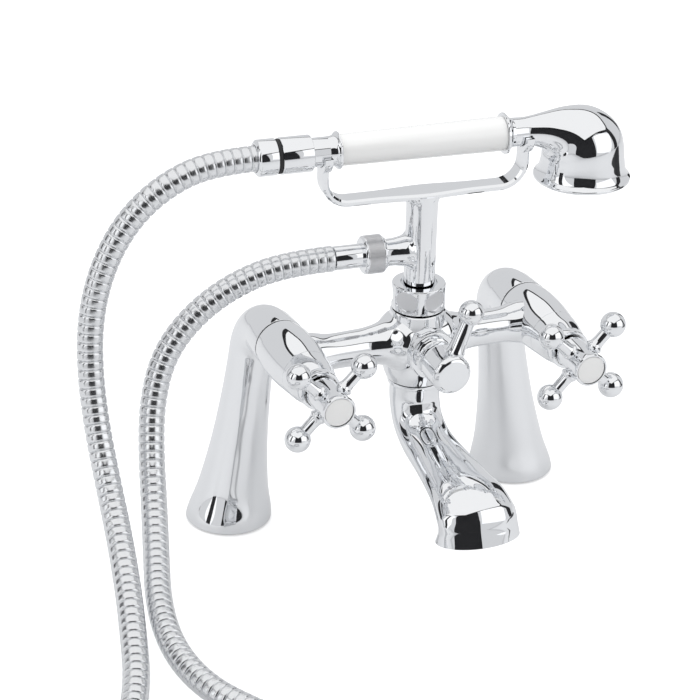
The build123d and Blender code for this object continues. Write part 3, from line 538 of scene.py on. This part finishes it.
def strap():
    """The flat bar from one fork down, across the stem and up to the other fork."""
    centre = strap_top - strap_thick / 2
    line = [Vector((-fork_reach, 0, fork_foot)), Vector((-fork_reach, 0, centre + strap_bend))]
    for side in (-1, 1):
        for step in range(strap_steps + 1):
            turn = radians(90 * step / strap_steps)
            if side > 0:
                turn = pi / 2 - turn
            line.append(Vector((side * (fork_reach - strap_bend + strap_bend * cos(turn)), 0,
                                centre + strap_bend - strap_bend * sin(turn))))
        if side < 0:
            line += [Vector((x, 0, centre)) for x in range(-32, 33, 2)]
    line += [Vector((fork_reach, 0, centre + strap_bend)), Vector((fork_reach, 0, fork_foot))]
    wide, thick = strap_wide / 2, strap_thick / 2
    corners = [(wide, -thick + bevel), (wide, thick - bevel), (wide - bevel, thick), (-wide + bevel, thick),
               (-wide, thick - bevel), (-wide, -thick + bevel), (-wide + bevel, -thick), (wide - bevel, -thick)]
    rings = []
    for i, point in enumerate(line):
        ahead = (line[min(i + 1, len(line) - 1)] - line[max(i - 1, 0)]).normalized()
        out = ahead.cross(Vector((0, 1, 0)))
        wider = 1 + strap_swell * (1 - smooth(abs(point.x) / swell_reach))
        rings.append([riser @ (point + Vector((0, a * wider, 0)) + out * b) for a, b in corners])
    return ring_skin(rings)


def fork(side):
    """A ring open at the top, as a row of four-cornered sections."""
    half = fork_thick / 2
    section = eased([(fork_bore, 0), (fork_bore, -half), (fork_outer, -half), (fork_outer, half),
                     (fork_bore, half), (fork_bore, 0.01)], 0.6)
    centre = Vector((side * fork_reach, 0, handset_height))
    rings = []
    for step in range(fork_steps + 1):
        angle = radians(-fork_gap - (180 - 2 * fork_gap) * step / fork_steps)
        way = Vector((0, cos(angle), sin(angle)))
        rings.append([riser @ (centre + way * radius + Vector((across, 0, 0))) for radius, across in section])
    return ring_skin(rings)


cradle = joined(stem(), turned(branch, branch_line), strap(), fork(-1), fork(1))
piece("riser and cradle", cradle, "body", "riser_cradle", sharp=28)
print("forks stand", 2 * fork_reach, "mm apart")

# %% Hose nut and ferrule on the outlet
outlet_start, outlet_end, outlet_radius, ferrule_start, ferrule_end = 22, 34.4, 10.8, 29.5, 50.6
grip_start, grip_end, grip_deep, grip_count = 23.8, 32.6, 0.16, 20
grip_pitch = (grip_end - grip_start) / grip_count
nut_line = eased([(outlet_start, 8.7), (outlet_start, 9.6), (23.2, outlet_radius), (grip_start, outlet_radius),
                  (grip_start, 10.3), (grip_end, 10.3), (grip_end, outlet_radius), (33.2, outlet_radius),
                  (outlet_end, 9.6), (outlet_end, 6.75)], 0.3)
piece("outlet nut", turned(branch, nut_line), "body", "outlet_nut")
grooves = [(grip_start + grip_pitch * (i + share), outlet_radius - grip_deep * dip)
           for i in range(grip_count) for share, dip in ((0, 1), (0.3, 0), (0.7, 0))]
grip = [(grip_start, 9.8), *grooves, (grip_end, outlet_radius - grip_deep), (grip_end, 9.8)]
piece("outlet nut grip", turned(branch, grip), "body", "outlet_nut", matter="satin", sharp=20)
ferrule = eased([(ferrule_start, 4), (ferrule_start, 6.7), (ferrule_end, 6.7), (ferrule_end, 4)], 0.5)
piece("outlet ferrule", turned(branch, ferrule), "body", "outlet_ferrule")
print("outlet nut is", round(outlet_end - outlet_start, 1), "mm long")

# %% [markdown]
# ## Handset
# From left to right: a turned tail that lies in the fork, a glazed white handle, a turned collar, and
# the head, which bends down through a half bell to a wide rim with a rose of small holes. The head is
# drawn a little shorter and higher than the solid one, as a later look at its outline asked for.

# %% Tail, handle and collar
tail_start, cup_end, handle_start, handle_end, collar_end, tail_radius = -73.5, -65.5, -49.6, 45.2, 50.4, 8.1
tail = [(tail_start, 4), (tail_start, 8.5), (cup_end, 8.5), (cup_end, tail_radius), (-56, tail_radius),
        *curve_through([(-56, tail_radius), (-52.5, 8.6), (-50.6, 10.2)], 8), (-50.3, 10.4), (-49.7, 10.4),
        (handle_start, 6)]
piece("handset tail", turned(handset, tail), "handset", "handset_tail")
sleeve = eased([(handle_start, 6), (handle_start, 8.7), (handle_end, 9.6), (handle_end, 6)], 0.5)
piece("white handle", turned(handset, sleeve), "handset", "handset_sleeve", matter="ceramic")
collar = [(handle_end, 6), (handle_end, 11.2), (45.5, 11.5), (46.2, 11.5),
          *curve_through([(46.4, 11.4), (47.8, 9.07), (collar_end, tail_radius)], 8), (collar_end, 6)]
piece("handset collar", turned(handset, collar), "handset", "handset_collar")
print("white handle is", round(handle_end - handle_start, 1), "mm long")

# %% Head and rose
head_axis, mouth_height, head_radius = 93.8, 214.3, 27
solid_axis, solid_mouth = 97.6, 204.6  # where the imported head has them
# shares of the way to the head's axis and of its drop, the turn in degrees, and a share of its radius
head_rows = [
    (0.0, 0.0, 0, 0.30), (0.21, 0.0, 0, 0.297), (0.431, 0.01, 12, 0.378), (0.638, 0.039, 30, 0.526),
    (0.826, 0.104, 52, 0.711), (0.963, 0.285, 72, 0.826), (1.0, 0.589, 90, 0.859), (1.0, 0.767, 90, 0.889),
    (1.0, 0.871, 90, 0.933), (1.0, 0.939, 90, 1.0)]


def head_ring(row):
    """A ring of the head, square to its bending middle line."""
    along, down, turn, share = row
    turn = radians(turn)
    x = collar_end + along * (head_axis - collar_end)
    centre = (x, 0, handset_height - down * (handset_height - mouth_height))
    radius = share * head_radius
    return oval(riser @ place(centre, (0, 1, 0), (cos(turn), 0, -sin(turn))), radius, radius)


rose_axis = riser @ place((head_axis, 0, mouth_height), (1, 0, 0), (0, 0, 1))
rim = eased([(1.9, 20), (1.9, head_radius), (0, head_radius), (0, 24.65), (4.0, 24.65), (4.0, 2)], 0.7, 5)
head = joined(ring_skin([head_ring(row) for row in curve_through(head_rows, 10)]), turned(rose_axis, rim))
piece("shower head", head, "handset", "shower_head")
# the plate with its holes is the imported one, moved to the drawn head's mouth
packed = nodes["rose_plate"]
moved = riser.to_3x3() @ Vector((head_axis - solid_axis, 0, mouth_height - solid_mouth))
rose = ([packed.matrix_world @ v.co / mm + moved for v in packed.data.vertices],
        [tuple(face.vertices) for face in packed.data.polygons])
piece("rose plate", rose, "handset", "rose_plate")
seal_ring = eased([(1.5, 22), (1.5, 24.6), (3.9, 24.6), (3.9, 22)], 0.3)
piece("rose seal", turned(rose_axis, seal_ring), "handset", "rose_seal", matter="rubber")
print("head's rim is", 2 * head_radius, "mm across")

# %% Swivel
hose_seat, swivel_start, band_start, band_end, cup_start = -94.5, -96.5, -85.2, -82.9, -82.8
swivel_radius, swivel_bore = 10.1, 6.4
cup = eased([(cup_start, swivel_bore), (cup_start, swivel_radius), (cup_end, swivel_radius), (cup_end, 8.2)],
            0.5)
piece("swivel cup", turned(handset, cup), "handset", "swivel_cup")
swivel = eased([(hose_seat, 4.2), (hose_seat, 7.4), (swivel_start, 7.4), (swivel_start, 8.7),
                (-95.1, swivel_radius), (band_start, swivel_radius), (band_start, swivel_bore)], 0.5)
piece("swivel sleeve", turned(handset, swivel), "hose_swivel", "swivel_sleeve")
band = eased([(band_start, swivel_bore), (band_start, 9.5), (band_end, 9.5), (band_end, swivel_bore)], 0.3)
piece("swivel band", turned(handset, band), "hose_swivel", "swivel_ring", matter="rubber")
print("swivel is", cup_end - swivel_start, "mm long")

# %% [markdown]
# ## Hose
# A metal shower hose is a strip wound into a tube, so it shows rings 5 mm apart with a narrow groove
# between them. Its line is one smooth spline: it falls from the handset and from the outlet, lies down on
# the deck and ends in a coil in front. A bevelled curve would give a plain tube, so the rings are skinned
# one by one along points read from that spline.

# %% Route of the hose
handset_route = [
    (-147, -45, 235.3), (-167.2, -43.8, 217), (-181.2, -44.4, 192.5), (-189, -46.8, 164.5),
    (-191.4, -53.5, 135), (-191.2, -64, 107.5), (-190.8, -80, 83.5), (-192.2, -103, 62.7),
    (-196.3, -130, 45.5), (-202.2, -156, 32.8), (-209.5, -184, 20.5), (-228, -219.5, 9.5)]
outlet_route = [
    (-107, -45.8, 171.8), (-131, -45.8, 156.3), (-148.2, -48, 136), (-156.8, -54.5, 111.5),
    (-161.2, -66, 88), (-165.9, -84, 67.5), (-173, -108, 51), (-181.7, -136, 38.5),
    (-185.7, -166, 31), (-183, -198, 28.2), (-172, -228, 27.6)]
hose_radius, hose_level, hose_length, line_step = 7.2, 7.3, 1.743, 0.5
coil_x, coil_y, coil_radius, coil_start, coil_turn, coil_parts = -206.5, -323.5, 83.5, 143.0, 605.0, 24
climb_start, climb_over, climb_height = 369, 119, 16.0
rise_start, rise_over, rise_height = 713, 35, 4.0


def coil_corner(index):
    """A corner of the coil, which climbs onto its own first turn and rises a little at its end."""
    angle = coil_start + coil_turn * index / coil_parts
    climb = (climb_height * smooth((angle - climb_start) / climb_over)
             + rise_height * max(0, (angle - rise_start) / rise_over))
    turn = radians(angle)
    return coil_x + coil_radius * cos(turn), coil_y + coil_radius * sin(turn), hose_level + climb


spline_parts = 32


def spline_line(corners, spacing):
    """Evenly spaced points along the NURBS spline that has the corners as its control points."""
    curve = bpy.data.curves.new("hose route", "CURVE")
    curve.dimensions = "3D"
    curve.resolution_u = spline_parts
    spline = curve.splines.new("NURBS")
    spline.points.add(len(corners) - 1)
    for point, corner in zip(spline.points, corners):
        point.co = (*corner, 1)
    spline.order_u = 3
    spline.use_endpoint_u = True
    spline.resolution_u = spline_parts
    route = bpy.data.objects.new("hose route", curve)
    mesh = bpy.data.meshes.new_from_object(route)
    drawn = [vertex.co.copy() for vertex in mesh.vertices]
    bpy.data.objects.remove(route)
    bpy.data.meshes.remove(mesh)
    even, carry = [drawn[0]], 0.0
    for one, two in zip(drawn, drawn[1:]):
        length = (two - one).length
        at = spacing - carry
        while at <= length:
            even.append(one.lerp(two, at / length))
            at += spacing
        carry = (carry + length) % spacing
    return even


straight_up, straight_low = 26.5, 28.0  # how far the hose leaves each end straight
start_up = handset @ Vector((0, 0, hose_seat))
start_low = branch @ Vector((0, 0, ferrule_end))
coil = [coil_corner(i) for i in range(coil_parts + 1)]
corners = [start_up, handset @ Vector((0, 0, hose_seat - straight_up)), *handset_route, *coil,
           *reversed(outlet_route), branch @ Vector((0, 0, ferrule_end + straight_low)), start_low]
line = spline_line(corners, line_step)
print("hose line has", len(line), "points,", round(line_step * len(line)), "mm")

# %% Ribbed skin of the hose
rib_pitch, groove_depth, hose_sides = 5.0, 0.75, 32
look_ahead, look_back = 4, 3  # points of the line that give its direction
# shares of one rib's length, and how far the hose has risen from the groove's floor there
rib_shape = [(0.0, 0.0), (0.06, 0.55), (0.13, 0.92), (0.30, 1.0), (0.50, 1.0), (0.70, 1.0), (0.87, 0.92),
             (0.94, 0.55)]
line_length = line_step * (len(line) - 1)
rib_count = round(line_length / rib_pitch)


def hose_skin():
    """Rings across the line. Each keeps its side near the one before, so that the skin doesn't twist."""
    pitch = line_length / rib_count
    marks = [((rib + share) * pitch, hose_radius - groove_depth * (1 - rise))
             for rib in range(rib_count) for share, rise in rib_shape]
    turns = [2 * pi * i / hose_sides for i in range(hose_sides)]
    rings, side = [], Vector((0, 1, 0))
    for along, radius in [*marks, (line_length, hose_radius - groove_depth)]:
        index = min(int(along / line_step), len(line) - 2)
        centre = line[index].lerp(line[index + 1], along / line_step - index)
        ahead = (line[min(index + look_ahead, len(line) - 1)] - line[max(index - look_back, 0)]).normalized()
        side = (side - ahead * side.dot(ahead)).normalized()
        other = ahead.cross(side)
        rings.append([centre + side * radius * cos(turn) + other * radius * sin(turn) for turn in turns])
    return ring_skin(rings)


hose = piece("ribbed hose", hose_skin(), "body", "hose_handset_run", "hose_coil", "hose_outlet_run",
             matter="hose", sharp=60)
print("ribs", rib_count)

# %% [markdown]
# ## Studio
# The photograph is a cut-out on white. A white floor and a white world stand in for it. The chrome mirrors
# a big soft box overhead with a thin dark frame around it, a dark field behind the camera and a narrow one
# to the right. Those dark cards are seen in mirrors only: they cast no shadow, and the camera looks
# through them, so that the mixer shows from every side.

# %% Floor and cards
# the two ways in which a width may run: close to the X axis, and turned from it by 30 degrees
level = (1, 0.01, 0)
askew = (cos(radians(30)), sin(radians(30)), 0)


def plane(name, centre, wide, high, normal, material, across=level):
    """A flat rectangle for the studio, which faces along normal and whose width runs along across."""
    matrix = place(centre, across, normal)
    square = ((-1, -1), (1, -1), (1, 1), (-1, 1))
    mesh = bpy.data.meshes.new(name)
    corners = [matrix @ Vector((x * wide / 2, y * high / 2, 0)) * mm for x, y in square]
    mesh.from_pydata(corners, [], [(0, 1, 2, 3)])
    mesh.materials.append(material)
    obj = bpy.data.objects.new(name, mesh)
    bpy.context.collection.objects.link(obj)
    return obj


def flat_material(name, colour):
    """A dull material of one colour."""
    material = bpy.data.materials.new(name)
    material.use_nodes = True
    shader = material.node_tree.nodes["Principled BSDF"]
    shader.inputs["Base Color"].default_value = (*colour, 1)
    shader.inputs["Roughness"].default_value = 0.6
    shader.inputs["Specular IOR Level"].default_value = 0.2
    return material


def math_node(tree, operation):
    """A node that does one sum."""
    node = tree.nodes.new("ShaderNodeMath")
    node.operation = operation
    return node


def looks(tree, mirrored):
    """A value of 1 for the eye, mirrored for mirrors and glass, and 0 for the light on the object."""
    rays = tree.nodes.new("ShaderNodeLightPath")
    either = math_node(tree, "ADD")
    tree.links.new(rays.outputs["Is Glossy Ray"], either.inputs[0])
    tree.links.new(rays.outputs["Is Transmission Ray"], either.inputs[1])
    total = math_node(tree, "MULTIPLY_ADD")
    tree.links.new(either.outputs[0], total.inputs[0])
    total.inputs[1].default_value = mirrored
    tree.links.new(rays.outputs["Is Camera Ray"], total.inputs[2])
    return total.outputs[0]


floor_glow, floor_mirrored, world_mirrored = 0.5, 0.05, 0.3


def floor_material():
    """Pale floor that looks white and still keeps the shadow."""
    material = flat_material("white floor", (0.72, 0.72, 0.72))
    tree = material.node_tree
    shader = tree.nodes["Principled BSDF"]
    strength = math_node(tree, "MULTIPLY")
    strength.inputs[1].default_value = floor_glow
    tree.links.new(looks(tree, floor_mirrored), strength.inputs[0])
    shader.inputs["Emission Color"].default_value = (1, 1, 1, 1)
    tree.links.new(strength.outputs[0], shader.inputs["Emission Strength"])
    return material


floor_size, floor_level = 9000, -0.3
plane("floor", (0, 0, floor_level), floor_size, floor_size, (0, 0, 1), floor_material())
card = flat_material("dark card", (0.02, 0.02, 0.022))
# middle, width, height, the way it faces, and the way its width runs
cards = {"left": ((-1500, -300, 600), 300, 1500, (1, 0.1, 0), level),
         "right": ((2300, -530, 950), 560, 1900, (-1, 0.23, 0), level),
         "right floor": ((1280, -250, 1), 1500, 420, (0, 0, 1), level),
         "lens": ((-824, -2780, 1650), 3000, 3250, (0.284, 0.959, 0), level),
         "far side": ((1500, 1000, 600), 300, 1100, (-0.8, -1, 0), level),
         "far left": ((-1500, 900, 600), 420, 1300, (1, -0.6, 0), level),
         "ceiling": ((-50, 150, 1920), 4300, 4300, (0, 0, -1), askew)}
for where, (centre, wide, high, normal, across) in cards.items():
    flag = plane(f"card {where}", centre, wide, high, normal, card, across)
    flag.visible_camera = flag.visible_diffuse = flag.visible_shadow = False
print("cards", sorted(cards))

# %% Lamps and world
def lamp(name, position, target, width, height, power, across=level):
    """A soft box at a position that faces a target."""
    data = bpy.data.lights.new(name, "AREA")
    data.shape = "RECTANGLE"
    data.size, data.size_y = width * mm, height * mm
    data.energy = power
    obj = bpy.data.objects.new(name, data)
    away = (Vector(position) - Vector(target)).normalized()  # a lamp shines along its own -Z
    obj.matrix_world = place(Vector(position) * mm, across, away)
    bpy.context.collection.objects.link(obj)


lamp("soft box above", (-50, 150, 1900), (-50, 150, 0), 3700, 3700, 42, askew)
lamp("soft box left", (-2100, -500, 1000), (0, -50, 120), 2200, 1500, 5.5)
lamp("soft box right", (1400, -1650, 1000), (0, -50, 120), 2000, 1700, 5.5)

world = bpy.data.worlds.new("white studio")
bpy.context.scene.world = world
world.use_nodes = True
tree = world.node_tree
background = tree.nodes["Background"]
background.inputs["Color"].default_value = (0.62, 0.63, 0.65, 1)
background.inputs["Strength"].default_value = 0.95
seen = tree.nodes.new("ShaderNodeBackground")
seen.inputs["Color"].default_value = (1, 1, 1, 1)
mix = tree.nodes.new("ShaderNodeMixShader")
tree.links.new(looks(tree, world_mirrored), mix.inputs["Fac"])
tree.links.new(background.outputs["Background"], mix.inputs[1])
tree.links.new(seen.outputs["Background"], mix.inputs[2])
tree.links.new(mix.outputs["Shader"], tree.nodes["World Output"].inputs["Surface"])
bpy.context.scene.view_settings.view_transform = "Standard"

# %% [markdown]
# ## Camera
# The view was found from the photograph: a long lens, well above the deck and to the left of the mixer.

# %% Camera
yaw, pitch, roll = radians(23.31), radians(26.61), radians(1.81)
stands_at = (-630.64, -1424.36, 872.38)
sensor, focal_pixels, picture_pixels = 36, 3000, 700
right = Vector((cos(yaw), -sin(yaw), 0))
back = Vector((-sin(yaw) * cos(pitch), -cos(yaw) * cos(pitch), sin(pitch)))
up = back.cross(right)
tilted_right = right * cos(roll) + up * sin(roll)
tilted_up = up * cos(roll) - right * sin(roll)
data = bpy.data.cameras.new("camera")
data.sensor_width = sensor
data.lens = sensor * focal_pixels / picture_pixels
data.clip_end = 50
camera = bpy.data.objects.new("camera", data)
bpy.context.collection.objects.link(camera)
turn = Matrix((tilted_right, tilted_up, back)).transposed().to_4x4()
camera.matrix_world = Matrix.Translation(Vector(stands_at) * mm) @ turn
bpy.context.scene.camera = camera
print("lens", round(data.lens, 1), "mm")
